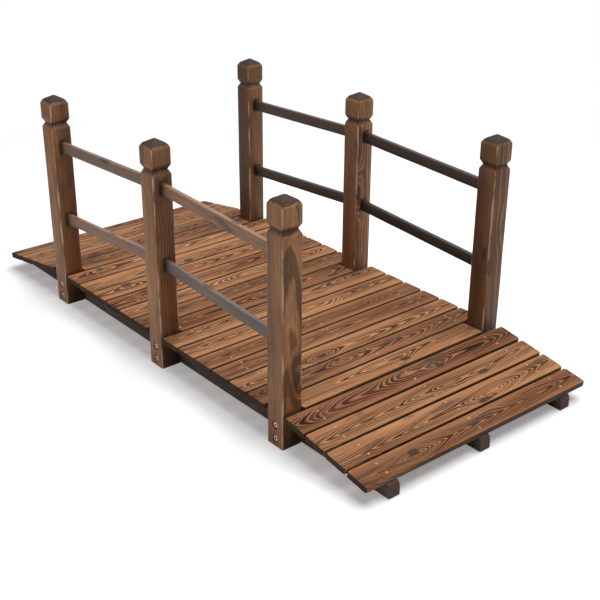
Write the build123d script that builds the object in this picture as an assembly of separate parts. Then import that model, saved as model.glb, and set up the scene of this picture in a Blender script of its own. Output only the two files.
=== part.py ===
from build123d import *
import math
import os

# Timber garden footbridge: three joists, six capped posts, eight rails and a boarded deck.
# Millimetres. X runs along the bridge, Z is up, and the origin is at floor level in the middle.

# Deck boards
BOARD_PITCH = 65.2
BOARD_WIDTH = 60.0
BOARD_THICKNESS = 14.0
BOARD_LENGTH = 672.0
BOARD_EDGE_RADIUS = 3.0
FLAT_BOARDS_PER_SIDE = 7
RAMP_BOARDS_PER_SIDE = 4
SHORT_BOARD_CLEARANCE = 2.0

# Joists
BRIDGE_LENGTH = 1500.0
JOIST_WIDTH = 30.0
JOIST_HEIGHT = 73.0
JOIST_END_HEIGHT = 32.0
JOIST_NOSE_RADIUS = 8.0

# Posts: a square outline seen from the side, as pairs of height and width, with eased corners
POST_SIZE = 52.0
POST_EDGE_RADIUS = 3.0
WIDTH_OVER_POSTS = 666.0
POST_COLUMN_PITCHES = 7
POST_HEIGHT = 561.0
NECK_SIZE = 40.0
CAP_BEVEL_SIZE = 42.0
CAP_PEAK_SIZE = 6.0
POST_LEVELS = (
    (0.0, POST_SIZE),
    (481.0, POST_SIZE),
    (492.0, NECK_SIZE),
    (503.0, POST_SIZE),
    (542.0, POST_SIZE),
    (551.0, CAP_BEVEL_SIZE),
    (POST_HEIGHT, CAP_PEAK_SIZE),
)

# Rails, whose ends at the middle posts sit higher than their ends at the outer posts
RAIL_HEIGHT = 27.0
RAIL_THICKNESS = 12.0
RAIL_EDGE_RADIUS = 2.0
RAIL_TENON = 16.0
RAIL_LEVELS = {"top": (452.0, 432.0), "low": (267.0, 238.0)}
MORTISE_PLAY = 1.0

# Places worked out from the sizes above
COLUMN_X = POST_COLUMN_PITCHES * BOARD_PITCH
POST_Y = (WIDTH_OVER_POSTS - POST_SIZE) / 2
JOIST_SIDE_Y = POST_Y - (POST_SIZE + JOIST_WIDTH) / 2
RAMP_START_X = (FLAT_BOARDS_PER_SIDE + 0.5) * BOARD_PITCH
RAMP_ANGLE = math.degrees(
    math.atan2(JOIST_HEIGHT - JOIST_END_HEIGHT, BRIDGE_LENGTH / 2 - RAMP_START_X)
)
SHORT_BOARD_LENGTH = WIDTH_OVER_POSTS - 2 * (POST_SIZE + SHORT_BOARD_CLEARANCE)
SIDES = {"left": -1, "right": 1}
BAYS = (-1, 1)
COLUMNS = (-1, 0, 1)


def joist(y):
    """A plank on edge, flat below, with its top sloping down to both ends."""
    half = BRIDGE_LENGTH / 2
    outline = Polyline(
        (-half, 0),
        (half, 0),
        (half, JOIST_END_HEIGHT),
        (RAMP_START_X, JOIST_HEIGHT),
        (-RAMP_START_X, JOIST_HEIGHT),
        (-half, JOIST_END_HEIGHT),
        close=True,
    )
    side_view = Plane.XZ * make_face(outline)
    solid = extrude(side_view, JOIST_WIDTH / 2, both=True)
    upper_edges = solid.edges().filter_by(Axis.Y).filter_by_position(
        Axis.Z, JOIST_END_HEIGHT / 2, (JOIST_END_HEIGHT + JOIST_HEIGHT) / 2
    )
    return Pos(0, y, 0) * fillet(upper_edges, JOIST_NOSE_RADIUS)


def plain_post():
    """A post on its own axis: shaft, notched neck, cap block and low pointed top."""
    sections = [Pos(0, 0, z) * Rectangle(size, size) for z, size in POST_LEVELS]
    square_post = Part()
    for lower, upper in zip(sections, sections[1:]):
        square_post += loft([lower, upper], ruled=True)
    eased_blank = extrude(RectangleRounded(POST_SIZE, POST_SIZE, POST_EDGE_RADIUS), POST_HEIGHT)
    return square_post & eased_blank


def rail_place(side, bay, level):
    """The middle of a rail and its slope, falling away from the middle post."""
    inner_z, outer_z = RAIL_LEVELS[level]
    fall = math.degrees(math.atan2(inner_z - outer_z, COLUMN_X))
    middle = Pos(bay * COLUMN_X / 2, side * POST_Y, (inner_z + outer_z) / 2)
    return middle * Rot(0, bay * fall, 0)


def rail_length(level):
    """A rail's length along its slope, with the tenons that sit in the posts."""
    inner_z, outer_z = RAIL_LEVELS[level]
    slope = math.atan2(inner_z - outer_z, COLUMN_X)
    return (COLUMN_X - POST_SIZE + 2 * RAIL_TENON) / math.cos(slope)


def rail(side, bay, level):
    """A flat rail with its long edges eased."""
    bar = Box(rail_length(level), RAIL_THICKNESS, RAIL_HEIGHT)
    bar = fillet(bar.edges().filter_by(Axis.X), RAIL_EDGE_RADIUS)
    return rail_place(side, bay, level) * bar


def mortises(side, bay, level):
    """The room for a rail and its tenons: the rail rests on the bottom, with play on the other sides."""
    room = Box(
        rail_length(level) + 2 * MORTISE_PLAY,
        RAIL_THICKNESS + 2 * MORTISE_PLAY,
        RAIL_HEIGHT + MORTISE_PLAY,
    )
    return rail_place(side, bay, level) * Pos(0, 0, MORTISE_PLAY / 2) * room


def post(side, column):
    """A post in its place, with a mortise for each rail that meets it."""
    solid = Pos(column * COLUMN_X, side * POST_Y, 0) * plain_post()
    for bay in BAYS:
        if bay * column >= 0:
            for level in RAIL_LEVELS:
                solid -= mortises(side, bay, level)
    return solid


def board(length):
    """A deck board lying on its underside, with its upper long edges rounded."""
    solid = Box(
        BOARD_WIDTH, length, BOARD_THICKNESS, align=(Align.CENTER, Align.CENTER, Align.MIN)
    )
    upper_edges = solid.edges().filter_by(Axis.Y).group_by(Axis.Z)[-1]
    return fillet(upper_edges, BOARD_EDGE_RADIUS)


def board_place(index):
    """Where board number index lies, counted from the middle: level, or down a ramp."""
    steps = abs(index) - FLAT_BOARDS_PER_SIDE
    if steps <= 0:
        return Pos(index * BOARD_PITCH, 0, JOIST_HEIGHT)
    end = math.copysign(1, index)
    along = (steps - 0.5) * BOARD_PITCH
    ramp = Pos(end * RAMP_START_X, 0, JOIST_HEIGHT) * Rot(0, end * RAMP_ANGLE, 0)
    return ramp * Pos(end * along, 0, 0)


def build():
    """Every piece of the bridge by its name."""
    nodes = {
        "joist_left": joist(-JOIST_SIDE_Y),
        "joist_middle": joist(0),
        "joist_right": joist(JOIST_SIDE_Y),
    }
    for side_name, side in SIDES.items():
        for number, column in enumerate(COLUMNS, start=1):
            nodes[f"post_{side_name}_{number}"] = post(side, column)
        for level in RAIL_LEVELS:
            for number, bay in enumerate(BAYS, start=1):
                nodes[f"rail_{level}_{side_name}_{number}"] = rail(side, bay, level)
    last = FLAT_BOARDS_PER_SIDE + RAMP_BOARDS_PER_SIDE
    for number, index in enumerate(range(-last, last + 1), start=1):
        beside_posts = index % POST_COLUMN_PITCHES == 0
        length = SHORT_BOARD_LENGTH if beside_posts else BOARD_LENGTH
        nodes[f"deck_board_{number:02d}"] = board_place(index) * board(length)
    return nodes


os.makedirs("parts", exist_ok=True)
for name, solid in build().items():
    export_step(solid, f"parts/{name}.step")
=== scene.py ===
import logging
import math
import random
from contextlib import contextmanager
from dataclasses import dataclass, field, replace
from enum import Enum
from typing import Callable, Iterator, Sequence, Union

import bmesh
import bpy
from mathutils import Color, Matrix, Quaternion, Vector


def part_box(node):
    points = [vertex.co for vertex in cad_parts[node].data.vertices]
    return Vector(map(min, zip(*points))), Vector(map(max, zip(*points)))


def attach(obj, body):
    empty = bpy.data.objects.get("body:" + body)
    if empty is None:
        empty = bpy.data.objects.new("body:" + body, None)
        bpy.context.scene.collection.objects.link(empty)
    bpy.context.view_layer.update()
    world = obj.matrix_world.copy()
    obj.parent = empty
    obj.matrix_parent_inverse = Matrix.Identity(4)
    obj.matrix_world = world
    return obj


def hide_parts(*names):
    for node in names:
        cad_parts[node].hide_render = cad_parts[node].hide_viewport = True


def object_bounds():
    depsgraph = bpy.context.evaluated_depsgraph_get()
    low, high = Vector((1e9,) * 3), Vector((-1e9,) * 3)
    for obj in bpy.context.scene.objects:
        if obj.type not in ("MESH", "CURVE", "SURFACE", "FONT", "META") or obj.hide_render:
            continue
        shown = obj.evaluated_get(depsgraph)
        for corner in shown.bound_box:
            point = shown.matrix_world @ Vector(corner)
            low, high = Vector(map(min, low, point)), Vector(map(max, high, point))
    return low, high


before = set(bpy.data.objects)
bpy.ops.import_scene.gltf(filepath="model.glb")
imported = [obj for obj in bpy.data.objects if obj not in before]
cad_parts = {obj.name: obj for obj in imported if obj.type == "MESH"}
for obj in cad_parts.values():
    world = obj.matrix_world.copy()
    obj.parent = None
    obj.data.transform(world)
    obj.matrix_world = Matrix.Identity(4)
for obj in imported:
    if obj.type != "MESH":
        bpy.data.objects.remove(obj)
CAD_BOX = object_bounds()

# Timber garden footbridge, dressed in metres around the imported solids.

log = logging.getLogger("footbridge")

Piece = bpy.types.Object
Material = bpy.types.Material
Socket = bpy.types.NodeSocket
Source = Union[Socket, float, Sequence[float]]
Span = tuple[float, float]
Triple = tuple[float, float, float]
Colour = tuple[float, float, float, float]

SIDES = ("left", "right")
BAYS = (1, 2)
COLUMNS = (1, 2, 3)
LEVELS = ("top", "low")
ENDS = (-1, 1)
BOARD_COUNT = 23
FULL_SHARE: Span = (0.0, 1.0)
WHITE: Colour = (1.0, 1.0, 1.0, 1.0)

# How near two points are to count as one, and how far up a face looks to count as level
TOUCHING = 1e-5
LEVEL = 0.98


class Lay(Enum):
    """Which way the fibres of a piece of timber run."""

    ALONG_BRIDGE = (1.0, 0.0, 0.0)
    ACROSS_BRIDGE = (0.0, 1.0, 0.0)
    UPRIGHT = (0.0, 0.0, 1.0)


class Shade(Enum):
    """How light a deck board is stained, and how yellow its wood is."""

    GOLDEN = (1.07, 0.75)
    BROWN = (0.87, 0.5)
    RUSSET = (0.91, 0.34)


def stain(red: int, green: int, blue: int) -> Colour:
    """Turn a colour, matched in steps of 255, into the shader's linear values."""
    linear = Color((red / 255, green / 255, blue / 255)).from_srgb_to_scene_linear()
    return (*linear, 1.0)


@dataclass(frozen=True)
class Place:
    """Where a straight piece lies: its middle, its own three directions and its sizes along them."""

    middle: Vector
    along: Vector
    across: Vector
    up: Vector
    size: Vector

    @classmethod
    def of_node(cls, node: str, lay: Lay) -> "Place":
        """Measure a node of the frame along its own directions.

        Args:
            node: The node's name.
            lay: Which way its fibres run.

        Returns:
            The node's place.
        """
        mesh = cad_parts[node].data
        if lay is Lay.UPRIGHT:
            along, across, up = Vector((0, 0, 1)), Vector((1, 0, 0)), Vector((0, 1, 0))
        else:
            tops = [face for face in mesh.polygons if face.normal.z > LEVEL]
            up = max(tops, key=lambda face: face.area).normal.copy()
            downhill = Vector((up.z, 0, -up.x))
            along = downhill if lay is Lay.ALONG_BRIDGE else Vector((0, 1, 0))
            across = up.cross(along)
        low, high = [], []
        for axis in (along, across, up):
            reach = [axis.dot(vertex.co) for vertex in mesh.vertices]
            low.append(min(reach))
            high.append(max(reach))
        halves = [(a + b) / 2 for a, b in zip(low, high)]
        middle = along * halves[0] + across * halves[1] + up * halves[2]
        size = Vector([b - a for a, b in zip(low, high)])
        return cls(middle, along, across, up, size)

    def matrix(self) -> Matrix:
        """The turn and shift from the piece's own directions to the bridge."""
        turn = Matrix((self.along, self.across, self.up)).transposed()
        return Matrix.Translation(self.middle) @ turn.to_4x4()

    def inward(self, point: Vector) -> Vector:
        """A point of the bridge, measured along the piece's own directions."""
        offset = point - self.middle
        return Vector((offset.dot(self.along), offset.dot(self.across), offset.dot(self.up)))

    def tip(self, end: int) -> Vector:
        """The middle of one end of the piece."""
        return self.middle + self.along * (end * self.size.x / 2)

    def outer_face(self, height: float, shift: float = 0.0) -> Matrix:
        """Find a point on a post's outer face, with Z pointing out of the timber.

        Args:
            height: The point's height above the floor.
            shift: How far the point lies from the post's middle, along the bridge.

        Returns:
            The turn and shift to that point.
        """
        side = math.copysign(1, self.middle.y)
        point = Vector((self.middle.x + shift, self.middle.y + side * self.size.z / 2, height))
        return Matrix.Translation(point) @ Matrix.Rotation(-side * math.pi / 2, 4, "X")


class Bench:
    """The hand tools: each one shapes a mesh object, in edit mode or with an applied modifier."""

    SOFT_ANGLE = math.radians(35)
    SWELL_DETAIL = 1

    @staticmethod
    def take(piece: Piece) -> None:
        """Make one piece the only selected and active object.

        Args:
            piece: The piece to work on.
        """
        bpy.ops.object.select_all(action="DESELECT")
        piece.select_set(True)
        bpy.context.view_layer.objects.active = piece

    @staticmethod
    @contextmanager
    def editing(piece: Piece) -> Iterator[None]:
        """Keep a piece in edit mode, in edge selection, for a block of steps.

        Args:
            piece: The piece to work on.
        """
        Bench.take(piece)
        bpy.ops.object.mode_set(mode="EDIT")
        bpy.ops.mesh.select_mode(type="EDGE")
        yield
        bpy.ops.object.mode_set(mode="OBJECT")

    @staticmethod
    def block(name: str, size: Sequence[float]) -> Piece:
        """Start a piece as a sawn block about the origin.

        Args:
            name: The piece's name.
            size: Its length, width and thickness.

        Returns:
            The new mesh object.
        """
        bpy.ops.object.select_all(action="DESELECT")
        bpy.ops.mesh.primitive_cube_add(size=1.0)
        piece = bpy.context.object
        piece.name = piece.data.name = name
        with Bench.editing(piece):
            bpy.ops.mesh.select_all(action="SELECT")
            bpy.ops.transform.resize(value=tuple(size))
        return piece

    @staticmethod
    def pick_edges(piece: Piece, wanted: Callable[[Vector, Vector], bool]) -> None:
        """Select the edges whose two ends pass a test, while the piece is in edit mode.

        Args:
            piece: The piece being edited.
            wanted: The test on an edge's two ends.
        """
        bpy.ops.mesh.select_all(action="DESELECT")
        shape = bmesh.from_edit_mesh(piece.data)
        for edge in shape.edges:
            if wanted(edge.verts[0].co, edge.verts[1].co):
                edge.select_set(True)
        bmesh.update_edit_mesh(piece.data)

    @staticmethod
    def pick_top(piece: Piece) -> None:
        """Select the faces that look up, while the piece is in edit mode.

        Args:
            piece: The piece being edited.
        """
        bpy.ops.mesh.select_mode(type="FACE")
        bpy.ops.mesh.select_all(action="DESELECT")
        shape = bmesh.from_edit_mesh(piece.data)
        for face in shape.faces:
            if face.normal.z > LEVEL:
                face.select_set(True)
        bmesh.update_edit_mesh(piece.data)

    @staticmethod
    def ease(offset: float, segments: int) -> None:
        """Round over the selected edges."""
        bpy.ops.mesh.bevel(offset=offset, segments=segments, affect="EDGES")

    @staticmethod
    def score(stations: Sequence[float]) -> None:
        """Cut new edges square across the whole piece that is in edit mode.

        Args:
            stations: Where the cuts lie along the piece.
        """
        for station in stations:
            bpy.ops.mesh.select_all(action="SELECT")
            bpy.ops.mesh.bisect(plane_co=(station, 0, 0), plane_no=(1, 0, 0))

    @staticmethod
    def score_evenly(reach: float, count: int) -> None:
        """Cut across at even steps, as far as a reach to either side of the piece's middle."""
        Bench.score([reach * (2 * step / count - 1) for step in range(count + 1)])

    @staticmethod
    def copy(pattern: Piece, name: str, matrix: Matrix) -> Piece:
        """Copy a pattern with its own mesh and set the copy in its place.

        Args:
            pattern: The modelled pattern.
            name: The copy's name.
            matrix: Where the copy goes.

        Returns:
            The copy, with its place in its mesh.
        """
        piece = pattern.copy()
        piece.data = pattern.data.copy()
        piece.name = piece.data.name = name
        bpy.context.scene.collection.objects.link(piece)
        Bench.place(piece, matrix)
        return piece

    @staticmethod
    def place(piece: Piece, matrix: Matrix) -> None:
        """Set a piece in its place and keep that place in its mesh.

        Args:
            piece: The piece about the origin.
            matrix: Where it goes.
        """
        piece.matrix_world = matrix
        Bench.take(piece)
        bpy.ops.object.transform_apply(location=True, rotation=True, scale=True)

    @staticmethod
    def cut_out(piece: Piece, cutter: Piece) -> None:
        """Cut one shape out of a piece and throw the cutter away.

        Args:
            piece: The piece that gets the hole.
            cutter: The shape of the hole.
        """
        hole = piece.modifiers.new("hole", "BOOLEAN")
        hole.operation = "DIFFERENCE"
        hole.solver = "EXACT"
        hole.object = cutter
        Bench.take(piece)
        bpy.ops.object.modifier_apply(modifier=hole.name)
        Bench.scrap(cutter)

    @staticmethod
    def weather(piece: Piece, depth: float, scale: float) -> None:
        """Make sawn faces slightly uneven, within the box of the solids.

        Args:
            piece: A piece in its place.
            depth: How far a face moves in all.
            scale: How long the unevenness is.
        """
        swell = bpy.data.textures.new("timber_swell", "CLOUDS")
        swell.noise_scale = scale
        swell.noise_depth = Bench.SWELL_DETAIL
        uneven = piece.modifiers.new("uneven", "DISPLACE")
        uneven.texture = swell
        uneven.texture_coords = "LOCAL"
        uneven.strength = depth
        Bench.take(piece)
        bpy.ops.object.modifier_apply(modifier=uneven.name)
        for vertex in piece.data.vertices:
            vertex.co = [min(max(at, low), high) for at, low, high in zip(vertex.co, *CAD_BOX)]

    @staticmethod
    def join(pieces: Sequence[Piece], name: str) -> Piece:
        """Join pieces into one object.

        Args:
            pieces: The pieces to join.
            name: The joined piece's name.

        Returns:
            The joined object.
        """
        Bench.take(pieces[0])
        for piece in pieces:
            piece.select_set(True)
        bpy.ops.object.join()
        pieces[0].name = pieces[0].data.name = name
        return pieces[0]

    @staticmethod
    def smooth(piece: Piece) -> None:
        """Shade rounded edges softly and keep sharp ones sharp."""
        Bench.take(piece)
        bpy.ops.object.shade_smooth_by_angle(angle=Bench.SOFT_ANGLE)

    @staticmethod
    def scrap(*pieces: Piece) -> None:
        """Throw away patterns and cutters."""
        for piece in pieces:
            bpy.data.objects.remove(piece)


@dataclass(frozen=True)
class Disc:
    """A short round or many-sided bar, with its upper rim eased."""

    radius: float
    height: float
    sides: int
    rim: float = 0.0
    rim_steps: int = 1

    def model(self, name: str, base: float = 0.0) -> Piece:
        """Model the disc, standing up along Z.

        Args:
            name: The piece's name.
            base: The height of its lower face.

        Returns:
            The new mesh object.
        """
        bpy.ops.object.select_all(action="DESELECT")
        bpy.ops.mesh.primitive_cylinder_add(
            vertices=self.sides,
            radius=self.radius,
            depth=self.height,
            location=(0, 0, base + self.height / 2),
        )
        disc = bpy.context.object
        disc.name = disc.data.name = name
        bpy.ops.object.transform_apply(location=True, rotation=True, scale=True)
        if self.rim:
            top = base + self.height
            with Bench.editing(disc):
                Bench.pick_edges(disc, lambda a, b: min(a.z, b.z) > top - TOUCHING)
                Bench.ease(self.rim, self.rim_steps)
        return disc


class Sketch:
    """Nodes drawn one by one: each method adds a node and returns its output."""

    NOISE_ROUGHNESS = 0.55

    def __init__(self, owner: Union[Material, bpy.types.World]) -> None:
        """Open the node tree of a material or a world.

        Args:
            owner: What the nodes are drawn for.
        """
        owner.use_nodes = True
        self.owner = owner
        self.tree = owner.node_tree

    def feed(self, socket: Socket, source: Source) -> None:
        """Link a source to a socket, or set the socket's own value.

        Args:
            socket: The input to feed.
            source: An output, or a plain value.
        """
        if isinstance(source, Socket):
            self.tree.links.new(source, socket)
        else:
            socket.default_value = source

    def surface(self, inputs: dict[str, Source]) -> Socket:
        """Feed the plain surface shader.

        Args:
            inputs: What feeds each of its named inputs.

        Returns:
            The shader's output.
        """
        shader = self.tree.nodes["Principled BSDF"]
        for name, source in inputs.items():
            self.feed(shader.inputs[name], source)
        return shader.outputs[0]

    def node(
        self, kind: str, inputs: dict[int, Source], output: int = 0, **settings: object
    ) -> Socket:
        """Add a node.

        Args:
            kind: The node's type.
            inputs: What feeds each of its numbered inputs.
            output: Which output to return.
            **settings: The node's own options.

        Returns:
            The chosen output.
        """
        made = self.tree.nodes.new(kind)
        for name, value in settings.items():
            setattr(made, name, value)
        for number, source in inputs.items():
            self.feed(made.inputs[number], source)
        return made.outputs[output]

    def attribute(self, name: str) -> Socket:
        """A vector kept on the mesh."""
        return self.node("ShaderNodeAttribute", {}, 1, attribute_name=name)

    def object_place(self) -> Socket:
        """A point's own place on the object."""
        return self.node("ShaderNodeTexCoord", {}, 3)

    def split(self, vector: Source) -> tuple[Socket, ...]:
        """The three parts of a vector."""
        first = self.node("ShaderNodeSeparateXYZ", {0: vector})
        return tuple(first.node.outputs)

    def vector(self, x: Source, y: Source, z: Source) -> Socket:
        """A vector from its three parts."""
        return self.node("ShaderNodeCombineXYZ", {0: x, 1: y, 2: z})

    def between(self, first: Source, second: Source) -> Socket:
        """The vector from one point to another."""
        return self.node("ShaderNodeVectorMath", {0: second, 1: first}, operation="SUBTRACT")

    def length(self, vector: Source) -> Socket:
        """The length of a vector."""
        return self.node("ShaderNodeVectorMath", {0: vector}, 1, operation="LENGTH")

    def scaled(self, vector: Source, factors: Sequence[float]) -> Socket:
        """A vector times a factor for each part."""
        return self.node("ShaderNodeVectorMath", {0: vector, 1: factors}, operation="MULTIPLY")

    def dimmed(self, colour: Source, share: Source) -> Socket:
        """A colour times one share."""
        return self.node("ShaderNodeVectorMath", {0: colour, 3: share}, operation="SCALE")

    def maths(self, operation: str, *values: Source) -> Socket:
        """The result of one sum."""
        return self.node("ShaderNodeMath", dict(enumerate(values)), operation=operation)

    def times(self, first: Source, second: Source) -> Socket:
        """One value times another."""
        return self.maths("MULTIPLY", first, second)

    def plus(self, base: Source, share: Source, value: Source) -> Socket:
        """A base, plus a share of a value."""
        return self.maths("MULTIPLY_ADD", value, share, base)

    def magnitude(self, value: Source) -> Socket:
        """A value without its sign."""
        return self.maths("ABSOLUTE", value)

    def centred(self, noise: Source) -> Socket:
        """Noise about nought, rather than about a half."""
        return self.maths("SUBTRACT", noise, 0.5)

    def noise(self, at: Source, detail: float = 2.0, output: int = 0) -> Socket:
        """Cloudy noise, one cell to a unit of the vector."""
        inputs = {0: at, 2: 1.0, 3: detail, 4: self.NOISE_ROUGHNESS}
        return self.node("ShaderNodeTexNoise", inputs, output)

    def spread(self, value: Source, span: Span, results: Span) -> Socket:
        """A value taken from one span to another, and held at its ends."""
        inputs = {0: value, 1: span[0], 2: span[1], 3: results[0], 4: results[1]}
        return self.node("ShaderNodeMapRange", inputs)

    def rise(self, value: Source, start: Source, end: Source) -> Socket:
        """A smooth step from 0 at the start to 1 at the end."""
        inputs = {0: value, 1: start, 2: end}
        return self.node("ShaderNodeMapRange", inputs, interpolation_type="SMOOTHSTEP")

    def mixed(self, share: Source, first: Source, second: Source) -> Socket:
        """A colour between two others."""
        return self.node("ShaderNodeMix", {0: share, 6: first, 7: second}, 2, data_type="RGBA")


@dataclass(frozen=True)
class Cut:
    """How one piece was sawn and stained.

    The log's heart lies across and depth away from the piece's middle, and slant and lean say how that
    changes along it. Calm quietens the figure on the face that looks down or to the left.
    """

    across: float
    depth: float
    knot: Triple
    lean: float = 0.0
    slant: float = 0.0
    taper: float = 0.0
    light: float = 1.0
    warmth: float = 0.5
    figure: float = 1.0
    calm: float = 0.0
    closeness: float = 1.0
    knot_size: float = 1.0
    sockets: Triple = (0.0, 0.0, 0.0)


@dataclass(frozen=True)
class TimberFinish:
    """Scorched and stained softwood: its colours, its growth rings and how the heart lies in a piece."""

    slot: str
    lay: Lay

    # Colours
    red_wood: Colour
    yellow_wood: Colour
    # The late wood's colour, also used for the painted shade in a post's neck groove.
    late_wood_and_shade: Colour
    scorch: Colour
    knot_wood: Colour
    # The end grain's colour, also used for the painted shade in gaps, at rail tips and in a post's hollows
    # and foot.
    end_grain_and_shade: Colour
    worn_wood: Colour

    # Rings: their width, how dark they are, and where in each the dark wood starts, thin and broad
    ring_spacing: float
    ring_strength: float
    ring_start: Span
    faintest: float = 0.7
    wobble: float = 0.014
    swing: float = 0.0
    turn: float = 0.03
    bends: float = 2.2
    ripple: float = 0.9
    pace: float = 0.9
    band: Span = (0.0, 0.0)
    straight_from: float = 1.0
    halo: float = 0.2

    # Knots
    knot_reach: Triple = (0.085, 0.034, 0.05)
    knot_swell: float = 0.016
    pin_swell: float = 0.008

    # Stain, scorching and wear; painted shade in gaps, at rail tips, in grooves and round sockets
    sapwood: Triple = (0.0, 0.0, 1.0)
    streaks: float = 0.22
    streak_scale: float = 95.0
    mottle: float = 0.0
    scorch_share: float = 0.6
    wear_share: float = 0.25
    gap_shade: float = 0.0
    tip_shade: float = 0.0
    groove: Span = (0.0, 0.0)
    socket_reach: Span = (0.075, 0.5)
    calm_skin: float = 0.0015

    # Surface
    roughness: float = 0.6
    gloss: float = 0.4

    # What lots are drawn from for each piece
    heart_across: Span = (0.02, 0.05)
    heart_depth: Span = (0.02, 0.06)
    lean: Span = (-0.008, 0.008)
    slant: Span = (-0.02, 0.02)
    taper: Span = (0.0, 0.02)
    knot_along: Span = (-0.45, 0.45)
    knot_across: Span = (-0.35, 0.35)
    figure: Span = (0.6, 1.0)
    closeness: Span = (1.0, 1.0)
    knot_size: Span = (1.0, 1.0)
    log_start: Span = (0.0, 60.0)
    tone: Span = (0.85, 1.15)

    def material(self) -> Material:
        """Draw the finish as a material."""
        return TimberSketch(self).draw()

    def draw_cut(self, name: str, size: Vector) -> Cut:
        """Draw lots for how a piece was sawn.

        Args:
            name: The piece's name, which settles the lots.
            size: The piece's own sizes.

        Returns:
            The piece's cut.
        """
        luck = random.Random(name)
        across = luck.uniform(*self.heart_across) * luck.choice(ENDS)
        depth = luck.uniform(*self.heart_depth) * luck.choice(ENDS)
        lean = luck.uniform(*self.lean)
        slant = luck.uniform(*self.slant)
        taper = luck.uniform(*self.taper)
        knot_x = luck.uniform(*self.knot_along) * size.x
        knot_y = luck.uniform(*self.knot_across) * size.y
        return Cut(
            across=across,
            depth=depth,
            knot=(knot_x, knot_y, size.z / 2),
            lean=lean,
            slant=slant,
            taper=taper,
            warmth=luck.random(),
            figure=luck.uniform(*self.figure),
            closeness=luck.uniform(*self.closeness),
            knot_size=luck.uniform(*self.knot_size),
        )

    def dress(self, piece: Piece, place: Place, material: Material, cut: Cut) -> None:
        """Write a piece's own grain on its mesh and give it the finish.

        Args:
            piece: The finished mesh in its place.
            place: Where it lies.
            material: The drawn finish.
            cut: How the piece was sawn.
        """
        luck = random.Random(piece.name)
        start = luck.uniform(*self.log_start)
        light = luck.uniform(*self.tone) * cut.light
        calm_depth = self.calm_skin - place.size.z / 2
        bent_length = self.straight_from * place.size.x / 2

        def fibre(own: Vector) -> Triple:
            """Measure a point of the piece from the heart.

            Args:
                own: The point along the piece's own directions.

            Returns:
                Its place along the log, and how far it is from the heart across and up.
            """
            run = min(own.x, bent_length)
            across = own.y + cut.across + cut.slant * run
            return (own.x + start, across, own.z + cut.depth + cut.lean * run)

        names = ("grain", "section", "tone", "growth", "knot", "sockets")
        marks: dict[str, list[float]] = {name: [] for name in names}
        for vertex in piece.data.vertices:
            own = place.inward(vertex.co)
            boldness = cut.figure * (1 - cut.calm) if own.z < calm_depth else cut.figure
            marks["grain"] += fibre(own)
            marks["section"] += [2 * part / whole for part, whole in zip(own, place.size)]
            marks["tone"] += (light, cut.warmth, boldness)
            marks["growth"] += (cut.taper, cut.closeness, cut.knot_size)
            marks["knot"] += fibre(Vector(cut.knot))
            marks["sockets"] += cut.sockets
        for name, values in marks.items():
            kept = piece.data.attributes.new(name, "FLOAT_VECTOR", "POINT")
            kept.data.foreach_set("vector", values)
        piece.data.materials.clear()
        piece.data.materials.append(material)
        Bench.smooth(piece)
        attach(piece, "root")


@dataclass(frozen=True)
class Noise:
    """Cloudy noise on timber: its cells to a metre along and across the fibres, and its detail."""

    along: float
    across: float
    detail: float = 2.0


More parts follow.
